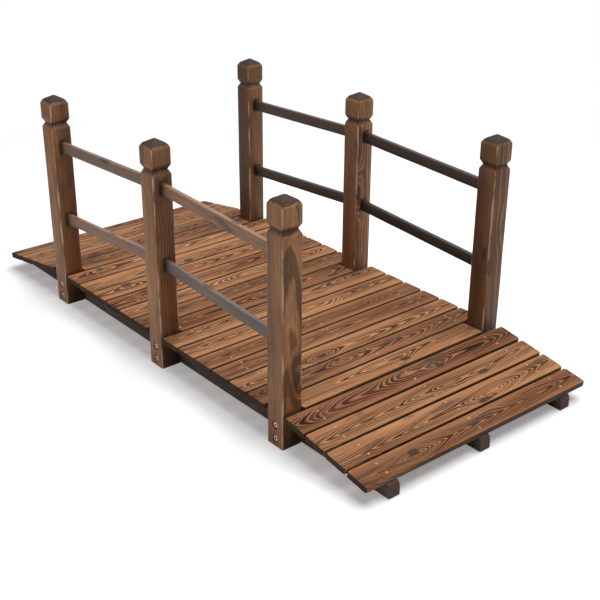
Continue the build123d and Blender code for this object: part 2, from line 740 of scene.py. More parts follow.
class TimberSketch(Sketch):
    """Scorched and stained softwood, drawn on what each mesh keeps of its grain.

    A span is where a mark starts and where it is full. Sections run from -1 to 1 across a piece.
    """

    # Noise that several marks share
    RIPPLE = Noise(9.0, 48.0, 3.0)
    FIBRE = Noise(9.0, 620.0, 3.0)
    CLOUD = Noise(8.0, 26.0, 4.0)
    RUB = Noise(14.0, 60.0, 3.0)

    # Growth rings, with thin ones between them, broad in patches and plain beside the heart's band
    DRIFT_ACROSS = 5.0
    SEASON_CELLS = (0.6, 1.5)
    PATCH = Noise(6.0, 30.0)
    PATCH_SPAN = (0.36, 0.66)
    BAND_PATCH = (0.34, -0.44)
    PLAIN_FADE = (1.0, 0.24)
    THREAD_SPACING = 0.45
    THREAD_START = (0.7, 0.4)
    RING_RISE = 0.35
    RING_END = (1.0, 0.95)
    PALE_WOOD = (0.5, 0.0)

    # Knots and scorched patches
    PIN_CELLS = (4.6, 12.0, 12.0)
    KNOT_HALO = (1.0, 0.0)
    PIN_HALO = (0.4, 0.0)
    KNOT_CORE = (0.28, 0.16)
    PIN_CORE = (0.07, 0.02)
    CORE_RAGGED = 0.5
    CORE_FIBRES = ((0.35, 0.6), (0.6, 0.95))
    SCORCHED = (0.58, 0.7)

    # Stain, streaks and the lines on a post's cap
    BLUSH = Noise(2.5, 14.0)
    BLUSH_SHARE = 1.6
    STREAK_ALONG = 3.5
    STREAK_SPAN = (0.25, 0.75)
    STILL = 0.1
    LIVELY = 0.9
    SPECKS = ((0.3, 0.7), (0.84, 1.16))
    THREAD_SHARE = 0.3
    CROWN_START = (0.03, 0.06)
    CROWN_WARMTH = 0.5
    CROWN_DULL = -0.32
    CROWN_THREAD = 1.1
    CROWN_LINE = -0.75

    # Wear, and painted shade in gaps, at rail tips and in a post's groove, hollows, foot and stained sockets
    WEAR_WAVE = 0.3
    WORN_CORNER = (0.87, 0.96)
    WORN_PATCH = (0.36, 0.6)
    GAP_FLANK = (0.9, 0.97)
    GAP_DEPTH = (1.04, 0.72)
    RAIL_TIP = (0.82, 0.91)
    GROOVE_BED = 0.2
    GROOVE_SHARE = 0.6
    HOLLOW = (0.955, 0.92)
    FOOT = (-0.66, -0.72)
    FOOT_FACE = (0.98, 0.94)
    FOOT_SHARE = 0.6
    SOCKET_FACE = (0.9, 0.97)
    SOCKET_SPAN = (1.1, 0.7)
    SOCKET_RAGGED = 0.8
    SOCKET_SHARE = 0.7
    SHADE_AND_STAIN_SHARE = 0.9
    END_GRAIN = (0.42, 0.72)
    END_SHARE = 0.92

    # Surface
    FIBRE_ROUGHNESS = 0.16
    RING_ROUGHNESS = 0.1
    END_ROUGHNESS = 3.0
    RING_RELIEF = -0.6
    FIBRE_RELIEF = 0.5
    RELIEF_STRENGTH = 0.4
    RELIEF_DEPTH = 0.0012

    def __init__(self, finish: TimberFinish) -> None:
        """Read what each mesh keeps of its timber, and draw what several marks share.

        Args:
            finish: The finish to draw.
        """
        super().__init__(bpy.data.materials.new(finish.slot))
        self.finish = finish
        self.grain = self.attribute("grain")
        self.light, self.warmth, self.figure = self.split(self.attribute("tone"))
        self.taper, self.closeness, self.knot_size = self.split(self.attribute("growth"))
        self.height, self.sideways, self.upwards = self.split(self.attribute("section"))
        self.flank, self.crest = self.magnitude(self.sideways), self.magnitude(self.upwards)
        self.ripple, self.fibre = self.cloudy(self.RIPPLE), self.cloudy(self.FIBRE)
        self.cloud, self.rub = self.cloudy(self.CLOUD), self.cloudy(self.RUB)
        self.from_knot = self.between(self.attribute("knot"), self.grain)
        self.knot = self.length(self.scaled(self.from_knot, [1 / reach for reach in finish.knot_reach]))
        self.pin = self.node("ShaderNodeTexVoronoi", {0: self.scaled(self.grain, self.PIN_CELLS), 2: 1.0})
        self.crown: Source = 0.0
        if any(finish.groove):
            self.crown = self.rise(self.height, *[finish.groove[0] + step for step in self.CROWN_START])

    def cloudy(self, kind: Noise, output: int = 0) -> Socket:
        """Noise drawn out along the fibres."""
        at = self.scaled(self.grain, (kind.along, kind.across, kind.across))
        return self.noise(at, kind.detail, output)

    def draw(self) -> Material:
        """Draw the whole finish.

        Returns:
            The finished material.
        """
        finish = self.finish
        across, reach, radius = self.growth()
        line, thread, pale = self.rings(across, radius)
        body = self.stained(reach, pale)
        body = self.figured(body, line, thread)
        body = self.marked(body)
        body = self.worn(body)
        body = self.with_painted_shade(body)
        end = self.end_grain()
        body = self.mixed(self.times(end, self.END_SHARE), body, finish.end_grain_and_shade)
        rough = self.plus(finish.roughness - self.FIBRE_ROUGHNESS / 2, self.FIBRE_ROUGHNESS, self.fibre)
        open_wood = self.maths("MAXIMUM", line, self.times(end, self.END_ROUGHNESS))
        relief = self.plus(self.times(self.fibre, self.FIBRE_RELIEF), self.RING_RELIEF, line)
        bump = self.node("ShaderNodeBump", {0: self.RELIEF_STRENGTH, 1: self.RELIEF_DEPTH, 3: relief})
        self.surface(
            {
                "Base Color": body,
                "Roughness": self.plus(rough, self.RING_ROUGHNESS, open_wood),
                "Specular IOR Level": finish.gloss,
                "Normal": bump,
            }
        )
        return self.owner

    def growth(self) -> tuple[Socket, Socket, Socket]:
        """Find how far a point is from a heart that wanders along the piece, and how old its wood is.

        Returns:
            The distance across the piece, the distance in all, and the radius that the rings are counted on,
            which swells round the knots and has good and bad years.
        """
        finish = self.finish
        along, across, depth = self.split(self.grain)
        drift = self.split(self.cloudy(Noise(finish.bends, self.DRIFT_ACROSS, 1.0), 1))
        across = self.plus(across, finish.wobble, self.centred(drift[0]))
        depth = self.plus(depth, finish.wobble, self.centred(drift[1]))
        reach = self.length(self.vector(0.0, across, depth))
        beside_knot = self.split(self.from_knot)[0]
        radius = self.plus(reach, self.taper, self.length(self.vector(beside_knot, finish.turn, 0.0)))
        radius = self.plus(radius, finish.swing, self.centred(drift[2]))
        radius = self.plus(radius, finish.knot_swell, self.rise(self.knot, *self.KNOT_HALO))
        radius = self.plus(radius, finish.pin_swell, self.rise(self.pin, *self.PIN_HALO))
        radius = self.plus(radius, finish.ring_spacing * finish.ripple, self.centred(self.ripple))
        by_ring, by_metre = self.SEASON_CELLS
        years = self.times(radius, by_ring / finish.ring_spacing)
        season = self.noise(self.vector(years, self.times(along, by_metre), 0.0))
        radius = self.plus(radius, finish.ring_spacing * finish.pace, season)
        return across, reach, self.times(radius, self.closeness)

    def rings(self, across: Socket, radius: Socket) -> tuple[Socket, Socket, Socket]:
        """Draw the growth rings.

        Args:
            across: How far a point is from the heart, across the piece.
            radius: The radius that the rings are counted on.

        Returns:
            How dark the rings are, how dark the thin ones between them are, and how pale the wood
            after each ring is.
        """
        finish = self.finish
        patch = self.cloudy(self.PATCH)
        plain: Source = 0.0
        if any(finish.band):
            plain = self.rise(self.magnitude(across), *finish.band)
            more, less = self.BAND_PATCH
            patch = self.plus(self.maths("ADD", patch, more), less, plain)
        line, pale = self.ring_line(radius, finish.ring_spacing, patch, finish.ring_start)
        thin = finish.ring_spacing * self.THREAD_SPACING
        thread, _ = self.ring_line(radius, thin, patch, self.THREAD_START)
        return self.times(line, self.spread(plain, FULL_SHARE, self.PLAIN_FADE)), thread, pale

    def ring_line(
        self, radius: Socket, spacing: float, patch: Socket, start: Span
    ) -> tuple[Socket, Socket]:
        """Draw the dark late wood of each ring, thin or broad in patches, and the pale wood after it.

        Args:
            radius: The radius that the rings are counted on.
            spacing: The width of a ring.
            patch: Noise that makes the line broader.
            start: Where in a ring the dark wood starts, at its thinnest and at its broadest.

        Returns:
            How dark the ring is, and how pale.
        """
        count = self.maths("DIVIDE", radius, spacing)
        ring = self.maths("FRACT", count)
        year = self.node("ShaderNodeTexWhiteNoise", {1: self.maths("FLOOR", count)}, noise_dimensions="1D")
        weight = self.spread(year, FULL_SHARE, (self.finish.faintest, 1.0))
        begin = self.spread(patch, self.PATCH_SPAN, start)
        full = self.plus(begin, self.RING_RISE, self.maths("SUBTRACT", 1.0, begin))
        dark = self.times(self.rise(ring, begin, full), self.rise(ring, *self.RING_END))
        return self.times(dark, weight), self.rise(ring, *self.PALE_WOOD)

    def stained(self, reach: Socket, pale: Socket) -> Socket:
        """Stain the bare wood, redder at the heart and yellower in the sapwood, with streaks.

        Args:
            reach: How far a point is from the heart.
            pale: How pale the wood after a ring is.

        Returns:
            The wood's colour.
        """
        finish = self.finish
        warmth = self.plus(self.warmth, self.BLUSH_SHARE, self.centred(self.cloudy(self.BLUSH)))
        share, heart_edge, sap_edge = finish.sapwood
        if share:
            sap = self.rise(reach, heart_edge, sap_edge)
            warmth = self.plus(self.times(warmth, 1 - share), share, sap)
        warmth = self.plus(warmth, self.CROWN_WARMTH, self.crown)
        streak = self.cloudy(Noise(self.STREAK_ALONG, finish.streak_scale))
        shade = self.spread(streak, self.STREAK_SPAN, (-finish.streaks, finish.streaks))
        shade = self.plus(shade, finish.halo, pale)
        lively = self.plus(self.STILL, self.LIVELY, self.figure)
        shade = self.plus(1.0, lively, shade)
        shade = self.plus(shade, -finish.mottle, self.centred(self.cloud))
        dull = self.times(self.crown, self.maths("SUBTRACT", 1.0, self.figure))
        shade = self.times(shade, self.plus(1.0, self.CROWN_DULL, dull))
        body = self.mixed(warmth, finish.red_wood, finish.yellow_wood)
        return self.dimmed(body, self.times(shade, self.light))

    def figured(self, body: Socket, line: Socket, thread: Socket) -> Socket:
        """Draw the rings on the wood.

        Args:
            body: The wood's colour.
            line: How dark the rings are.
            thread: How dark the thin rings are.

        Returns:
            The new colour.
        """
        late_wood_and_shade = self.finish.late_wood_and_shade
        bold = self.times(self.figure, self.finish.ring_strength)
        fine = self.times(self.plus(self.THREAD_SHARE, self.CROWN_THREAD, self.crown), thread)
        body = self.mixed(self.times(fine, bold), body, late_wood_and_shade)
        bold = self.times(bold, self.plus(1.0, self.CROWN_LINE, self.crown))
        return self.mixed(self.times(line, bold), body, late_wood_and_shade)

    def marked(self, body: Socket) -> Socket:
        """Draw scorched patches, knots and the specks of the fibres.

        Args:
            body: The wood's colour.

        Returns:
            The new colour.
        """
        finish = self.finish
        burn = self.times(self.rise(self.cloud, *self.SCORCHED), finish.scorch_share)
        ragged = self.times(self.centred(self.ripple), self.CORE_RAGGED)
        knot = self.maths("DIVIDE", self.maths("ADD", self.knot, ragged), self.knot_size)
        pin = self.maths("ADD", self.pin, ragged)
        core = self.maths("MAXIMUM", self.rise(knot, *self.KNOT_CORE), self.rise(pin, *self.PIN_CORE))
        core = self.times(core, self.spread(self.fibre, *self.CORE_FIBRES))
        body = self.mixed(burn, body, finish.scorch)
        body = self.mixed(core, body, finish.knot_wood)
        return self.dimmed(body, self.spread(self.fibre, *self.SPECKS))

    def worn(self, body: Socket) -> Socket:
        """Rub the stain off the long corners, in patches.

        Args:
            body: The wood's colour.

        Returns:
            The new colour.
        """
        corner = self.maths("MINIMUM", self.flank, self.crest)
        wavy = self.plus(corner, self.WEAR_WAVE, self.centred(self.rub))
        wear = self.times(self.rise(wavy, *self.WORN_CORNER), self.rise(self.rub, *self.WORN_PATCH))
        return self.mixed(self.times(wear, self.finish.wear_share), body, self.finish.worn_wood)

    def with_painted_shade(self, body: Socket) -> Socket:
        """Paint shade into the gaps between boards, the tips of rails, and the neck, foot and hollows of
        posts, and darken the stain round the posts' sockets, with painted shade there too.

        Args:
            body: The wood's colour.

        Returns:
            The new colour.
        """
        finish = self.finish
        # Painted shade on the boards' sides, in the gaps between them.
        if finish.gap_shade:
            gap = self.times(self.rise(self.flank, *self.GAP_FLANK), self.rise(self.upwards, *self.GAP_DEPTH))
            body = self.mixed(self.times(gap, finish.gap_shade), body, finish.end_grain_and_shade)
        # Painted shade on the rails' ends, where they enter the posts.
        if finish.tip_shade:
            tip = self.rise(self.magnitude(self.height), *self.RAIL_TIP)
            body = self.mixed(self.times(tip, finish.tip_shade), body, finish.end_grain_and_shade)
        if any(finish.groove):
            middle, half = finish.groove
            beside = self.magnitude(self.maths("SUBTRACT", self.height, middle))
            # Painted shade in the crease of the post's neck groove.
            neck = self.rise(beside, half, half * self.GROOVE_BED)
            body = self.mixed(self.times(neck, self.GROOVE_SHARE), body, finish.late_wood_and_shade)
            # Painted shade inside the mortises and bolt sinkings, and on the foot's faces along the bridge
            # under the deck, joined with the dark stain and painted shade round the sockets.
            shaft = self.rise(self.height, middle - half, middle - 2 * half)
            inside = self.rise(self.maths("MAXIMUM", self.flank, self.crest), *self.HOLLOW)
            foot = self.times(self.rise(self.height, *self.FOOT), self.rise(self.crest, *self.FOOT_FACE))
            painted_shade = self.maths("MAXIMUM", self.times(shaft, inside), self.times(foot, self.FOOT_SHARE))
            painted_shade = self.maths("MAXIMUM", painted_shade, self.socket_stain_and_shade())
            body = self.mixed(self.times(painted_shade, self.SHADE_AND_STAIN_SHARE), body, finish.end_grain_and_shade)
        return body

    def socket_stain_and_shade(self) -> Socket:
        """Darken the timber round the sockets that the rails sit in: a dark stain, with painted shade where
        the rails enter.

        Returns:
            How dark the timber is.
        """
        top, low, side = self.split(self.attribute("sockets"))
        both = self.times(self.flank, self.maths("SUBTRACT", 1.0, self.magnitude(side)))
        face = self.rise(self.plus(both, side, self.sideways), *self.SOCKET_FACE)
        near = [self.magnitude(self.maths("SUBTRACT", self.height, level)) for level in (top, low)]
        reach_up, reach_out = self.finish.socket_reach
        length = self.maths("DIVIDE", self.maths("MINIMUM", *near), reach_up)
        width = self.maths("DIVIDE", self.crest, reach_out)
        away = self.plus(self.maths("MAXIMUM", length, width), self.SOCKET_RAGGED, self.centred(self.rub))
        return self.times(face, self.times(self.rise(away, *self.SOCKET_SPAN), self.SOCKET_SHARE))

    def end_grain(self) -> Socket:
        """Find the faces that look along the fibres.

        Returns:
            How far a face does so.
        """
        normal = self.node("ShaderNodeNewGeometry", {}, 1)
        inputs = {0: normal, 1: self.finish.lay.value}
        turned = self.node("ShaderNodeVectorMath", inputs, 1, operation="DOT_PRODUCT")
        return self.rise(self.magnitude(turned), *self.END_GRAIN)


@dataclass(frozen=True)
class SteelFinish:
    """Dull coated steel of the bolts and nails."""

    name: str
    coat: Colour
    tarnish: Colour
    roughness: float
    metallic: float
    blotch_cells: Triple = (260.0, 260.0, 260.0)
    blotch_detail: float = 3.0
    blotch_span: Span = (0.35, 0.7)
    blotch_roughness: float = 0.25

    def material(self) -> Material:
        """Draw the finish as blotches of tarnish on the object's own coordinates.

        Returns:
            The finished material.
        """
        s = Sketch(bpy.data.materials.new(self.name))
        cloud = s.noise(s.scaled(s.object_place(), self.blotch_cells), self.blotch_detail)
        blotch = s.rise(cloud, *self.blotch_span)
        s.surface(
            {
                "Base Color": s.mixed(blotch, self.coat, self.tarnish),
                "Roughness": s.plus(self.roughness, self.blotch_roughness, blotch),
                "Metallic": self.metallic,
            }
        )
        return s.owner


DECK_TIMBER = TimberFinish(
    slot="deck_timber",
    lay=Lay.ACROSS_BRIDGE,
    red_wood=stain(130, 81, 53),
    yellow_wood=stain(172, 124, 85),
    late_wood_and_shade=stain(34, 21, 15),
    scorch=stain(46, 40, 38),
    knot_wood=stain(50, 43, 39),
    end_grain_and_shade=stain(56, 47, 42),
    worn_wood=stain(196, 148, 102),
    ring_spacing=0.005,
    ring_strength=1.0,
    ring_start=(0.86, 0.24),
    faintest=0.42,
    swing=0.045,
    turn=0.035,
    bends=3.6,
    ripple=1.1,
    band=(0.011, 0.026),
    halo=0.32,
    knot_reach=(0.06, 0.036, 0.05),
    knot_swell=-0.009,
    pin_swell=-0.012,
    scorch_share=0.5,
    wear_share=0.3,
    gap_shade=0.8,
    gloss=0.08,
    heart_across=(0.0, 0.012),
    heart_depth=(0.0, 0.006),
    taper=(0.07, 0.15),
    figure=(0.88, 1.0),
    closeness=(0.85, 1.3),
    knot_size=(0.35, 1.1),
    tone=(0.95, 1.05),
)

POST_TIMBER = TimberFinish(
    slot="post_timber",
    lay=Lay.UPRIGHT,
    red_wood=stain(100, 64, 40),
    yellow_wood=stain(154, 107, 68),
    late_wood_and_shade=stain(50, 35, 27),
    scorch=stain(58, 48, 44),
    knot_wood=stain(58, 46, 40),
    end_grain_and_shade=stain(28, 21, 17),
    worn_wood=stain(206, 178, 152),
    ring_spacing=0.0105,
    ring_strength=0.75,
    ring_start=(0.62, 0.15),
    faintest=0.4,
    wobble=0.022,
    ripple=0.35,
    pace=0.8,
    straight_from=0.77,
    knot_reach=(0.09, 0.03, 0.03),
    knot_swell=0.02,
    sapwood=(0.75, 0.02, 0.07),
    streaks=0.28,
    streak_scale=150.0,
    mottle=1.35,
    scorch_share=0.35,
    wear_share=0.7,
    groove=(0.755, 0.034),
    roughness=0.42,
    gloss=0.28,
    tone=(0.97, 1.03),
)

RAIL_TIMBER = TimberFinish(
    slot="rail_timber",
    lay=Lay.ALONG_BRIDGE,
    red_wood=stain(82, 73, 70),
    yellow_wood=stain(114, 82, 58),
    late_wood_and_shade=stain(46, 37, 33),
    scorch=stain(46, 43, 43),
    knot_wood=stain(46, 43, 43),
    end_grain_and_shade=stain(34, 28, 26),
    worn_wood=stain(140, 110, 86),
    ring_spacing=0.0055,
    ring_strength=0.14,
    ring_start=(0.7, 0.3),
    ripple=0.6,
    pace=0.6,
    halo=0.04,
    streaks=0.12,
    mottle=0.6,
    wear_share=0.15,
    tip_shade=0.75,
    roughness=0.4,
    heart_across=(0.01, 0.04),
    heart_depth=(0.01, 0.04),
    tone=(0.95, 1.05),
)

JOIST_TIMBER = TimberFinish(
    slot="joist_timber",
    lay=Lay.ALONG_BRIDGE,
    red_wood=stain(69, 62, 56),
    yellow_wood=stain(82, 74, 66),
    late_wood_and_shade=stain(40, 33, 30),
    scorch=stain(34, 30, 29),
    knot_wood=stain(34, 30, 29),
    end_grain_and_shade=stain(80, 54, 45),
    worn_wood=stain(120, 88, 66),
    ring_spacing=0.007,
    ring_strength=0.6,
    ring_start=(0.7, 0.3),
)

BOLT_STEEL = SteelFinish(
    name="bolt_steel",
    coat=stain(250, 202, 198),
    tarnish=stain(222, 168, 166),
    roughness=0.35,
    metallic=0.3,
)

NAIL_STEEL = SteelFinish(
    name="nail_steel",
    coat=stain(186, 148, 108),
    tarnish=stain(134, 99, 70),
    roughness=0.5,
    metallic=0.2,
)

BRAD_STEEL = SteelFinish(
    name="brad_steel",
    coat=stain(58, 46, 42),
    tarnish=stain(36, 30, 28),
    roughness=0.5,
    metallic=0.6,
)


@dataclass
class Timbers:
    """Timbers of one kind, copied from patterns, made uneven, dressed and set for their nodes."""

    finish: TimberFinish
    unevenness: float
    swell: float
    places: dict[str, Place] = field(default_factory=dict)
    material: Material = field(init=False)

    def __post_init__(self) -> None:
        """Draw the finish that all the pieces share."""
        self.material = self.finish.material()

    def measure(self, node: str) -> Place:
        """Measure a node, and keep its place for what joins it."""
        self.places[node] = Place.of_node(node, self.finish.lay)
        return self.places[node]

    def copy(self, pattern: Piece, name: str, matrix: Matrix) -> Piece:
        """Copy a pattern to its place and make its faces slightly uneven.

        Args:
            pattern: The modelled pattern.
            name: The copy's name.
            matrix: Where the copy goes.

        Returns:
            The copy.
        """
        piece = Bench.copy(pattern, name, matrix)
        Bench.weather(piece, self.unevenness, self.swell)
        return piece

    def complete(self, piece: Piece, node: str, cut: Cut) -> None:
        """Dress a piece and let it stand for its node.

        Args:
            piece: The shaped piece.
            node: The node's name.
            cut: How the piece was sawn.
        """
        self.finish.dress(piece, self.places[node], self.material, cut)
        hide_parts(node)
        log.info("%s in place", piece.name)


@dataclass
class Deck(Timbers):
    """The boards that lie across the joists."""

    finish: TimberFinish = DECK_TIMBER
    unevenness: float = 0.0007
    swell: float = 0.11
    corner_radius: float = 0.006
    top_radius: float = 0.003
    round_steps: int = 3
    foot_radius: float = 0.001
    foot_steps: int = 1
    stations: int = 22
    short_cut: float = 0.001
    skew: float = 0.0025
    strays: dict[int, float] = field(
        default_factory=lambda: {20: -0.003, 21: -0.006, 22: -0.007, 23: -0.008}
    )
    golden: tuple[int, ...] = (2, 3, 6, 7, 8, 10, 13, 14, 17, 19, 21, 22)
    russet: tuple[int, ...] = (9, 12, 18, 20, 23)
    coarse_boards: int = 13
    coarseness: float = 0.72

    def pattern(self, size: Vector) -> Piece:
        """Model one board about the origin, along X.

        Args:
            size: The board's length, width and thickness.

        Returns:
            The pattern.
        """
        board = Bench.block("board_pattern", size)
        top = size.z / 2
        with Bench.editing(board):
            Bench.pick_edges(board, lambda a, b: abs(a.z - b.z) > top)
            Bench.ease(self.corner_radius, self.round_steps)
            Bench.pick_edges(board, lambda a, b: min(a.z, b.z) > top - TOUCHING)
            Bench.ease(self.top_radius, self.round_steps)
            Bench.pick_edges(board, lambda a, b: max(a.z, b.z) < TOUCHING - top)
            Bench.ease(self.foot_radius, self.foot_steps)
            Bench.score_evenly(size.x / 2 - 2 * self.corner_radius, self.stations)
        return board

    def build(self) -> None:
        """Lay every board."""
        patterns: dict[str, Piece] = {}
        for number in range(1, BOARD_COUNT + 1):
            node, name = f"deck_board_{number:02d}", f"board_{number:02d}"
            place = self.measure(node)
            length = f"{place.size.x:.3f}"
            if length not in patterns:
                patterns[length] = self.pattern(place.size)
            matrix = place.matrix() @ self.tolerance(number, place.size)
            board = self.copy(patterns[length], name, matrix)
            self.complete(board, node, self.cut(number, name, place.size))
        Bench.scrap(*patterns.values())

    def cut(self, number: int, name: str, size: Vector) -> Cut:
        """Draw lots for a board's grain, and give it its own stain.

        Args:
            number: The board's number.
            name: Its name, which settles the lots.
            size: Its own sizes.

        Returns:
            The board's cut.
        """
        light, warmth = self.shade(number).value
        cut = replace(self.finish.draw_cut(name, size), light=light, warmth=warmth)
        if number <= self.coarse_boards:
            cut = replace(cut, closeness=cut.closeness * self.coarseness)
        return cut

    def shade(self, number: int) -> Shade:
        """Look up the stain of a board.

        Args:
            number: The board's number.

        Returns:
            Its stain.
        """
        if number in self.golden:
            return Shade.GOLDEN
        return Shade.RUSSET if number in self.russet else Shade.BROWN

    def tolerance(self, number: int, size: Vector) -> Matrix:
        """Find how far a board is nailed askew, and draw lots for how far it is sawn short.

        Args:
            number: The board's number, which settles the lots.
            size: Its own sizes.

        Returns:
            The small turn and shortening of the board.
        """
        luck = random.Random(f"tolerance {number}")
        askew = luck.uniform(-self.skew, self.skew)
        turn = Matrix.Rotation(self.strays.get(number, askew), 4, "Z")
        short = luck.uniform(0.0, self.short_cut)
        return turn @ Matrix.Scale(1 - short / size.x, 4, (1, 0, 0))


@dataclass
class Joists(Timbers):
    """The three planks on edge that carry the deck."""

    finish: TimberFinish = JOIST_TIMBER
    unevenness: float = 0.0008
    swell: float = 0.14
    names: tuple[str, ...] = ("left", "middle", "right")
    nose_radius: float = 0.008
    nose_steps: int = 4
    edge_radius: float = 0.0015
    edge_steps: int = 2
    stations: int = 26
    ramp_slope: Span = (0.1, 0.3)

    def pattern(self, place: Place, ramp_start: float, end_height: float) -> Piece:
        """Model one joist about the origin, along X.

        Args:
            place: Where a joist lies.
            ramp_start: How far from the middle its top starts to fall.
            end_height: How high its ends are.

        Returns:
            The pattern.
        """
        length, _, height = place.size
        joist = Bench.block("joist_pattern", place.size)
        foot, tip = TOUCHING - height / 2, length / 2 - TOUCHING
        with Bench.editing(joist):
            Bench.score((-ramp_start, ramp_start))
            Bench.pick_edges(joist, lambda a, b: min(a.z, b.z) > 0 and min(abs(a.x), abs(b.x)) > tip)
            bpy.ops.transform.translate(value=(0, 0, end_height - height))
            Bench.pick_edges(joist, lambda a, b: abs(a.y - b.y) > TOUCHING and min(a.z, b.z) > foot)
            Bench.ease(self.nose_radius, self.nose_steps)
            Bench.pick_edges(joist, lambda a, b: abs(a.y - b.y) < TOUCHING < abs(a.x - b.x))
            Bench.ease(self.edge_radius, self.edge_steps)
            Bench.score_evenly(length / 2 - 2 * self.nose_radius, self.stations)
        return joist

    def build(self) -> None:
        """Set up the three joists."""
        pattern = None
        for name in self.names:
            node = f"joist_{name}"
            place = self.measure(node)
            pattern = pattern or self.pattern(place, *self.ramp(node))
            joist = self.copy(pattern, f"bearer_{name}", place.matrix())
            self.complete(joist, node, self.finish.draw_cut(joist.name, place.size))
        Bench.scrap(pattern)

    def ramp(self, node: str) -> Span:
        """Read where a joist's top starts to fall and how high its ends are.

        Args:
            node: The joist's node.

        Returns:
            The start of the ramp along the bridge, and the height of the end.
        """
        low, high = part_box(node)
        least, most = self.ramp_slope
        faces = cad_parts[node].data.polygons
        slope = max((face for face in faces if least < face.normal.x < most), key=lambda face: face.area)
        fall = slope.normal.x / slope.normal.z
        start = slope.center.x + (slope.center.z - high.z) / fall
        return start, high.z - low.z - fall * (high.x - start)


@dataclass
class Rails(Timbers):
    """The eight flat rails between the posts, each with its own lightness and yellowness: painted sheen on
    the near ones, painted shade on the far ones.
    """

    finish: TimberFinish = RAIL_TIMBER
    unevenness: float = 0.0009
    swell: float = 0.12
    edge_radius: float = 0.0022
    edge_steps: int = 3
    stations: int = 16
    # Near rails lighter and greyer as a painted sheen of the pale floor; far rails darker as a painted shade.
    painted_sheen_and_shade: dict[str, Span] = field(
        default_factory=lambda: {
            "top_left_1": (1.25, 0.5),
            "top_left_2": (1.5, 0.9),
            "low_left_1": (1.7, 0.65),
            "low_left_2": (1.35, 0.0),
            "top_right_1": (0.4, 0.6),
            "top_right_2": (0.24, 0.5),
            "low_right_1": (0.28, 0.5),
            "low_right_2": (0.16, 0.4),
        }
    )

    def pattern(self, size: Vector) -> Piece:
        """Model one rail about the origin, along X.

        Args:
            size: The rail's length, thickness and height.

        Returns:
            The pattern.
        """
        rail = Bench.block("rail_pattern", size)
        with Bench.editing(rail):
            Bench.pick_edges(rail, lambda a, b: abs(a.x - b.x) > size.x / 2)
            Bench.ease(self.edge_radius, self.edge_steps)
            Bench.score_evenly(size.x / 2 * (1 - 1 / self.stations), self.stations)
        return rail

    def build(self) -> None:
        """Fit every rail."""
        for level in LEVELS:
            pattern = None
            for spot in [f"{level}_{side}_{bay}" for side in SIDES for bay in BAYS]:
                node = f"rail_{spot}"
                place = self.measure(node)
                pattern = pattern or self.pattern(place.size)
                rail = self.copy(pattern, f"handrail_{spot}", place.matrix())
                light, warmth = self.painted_sheen_and_shade[spot]
                cut = self.finish.draw_cut(rail.name, place.size)
                self.complete(rail, node, replace(cut, light=light, warmth=warmth))
            Bench.scrap(pattern)


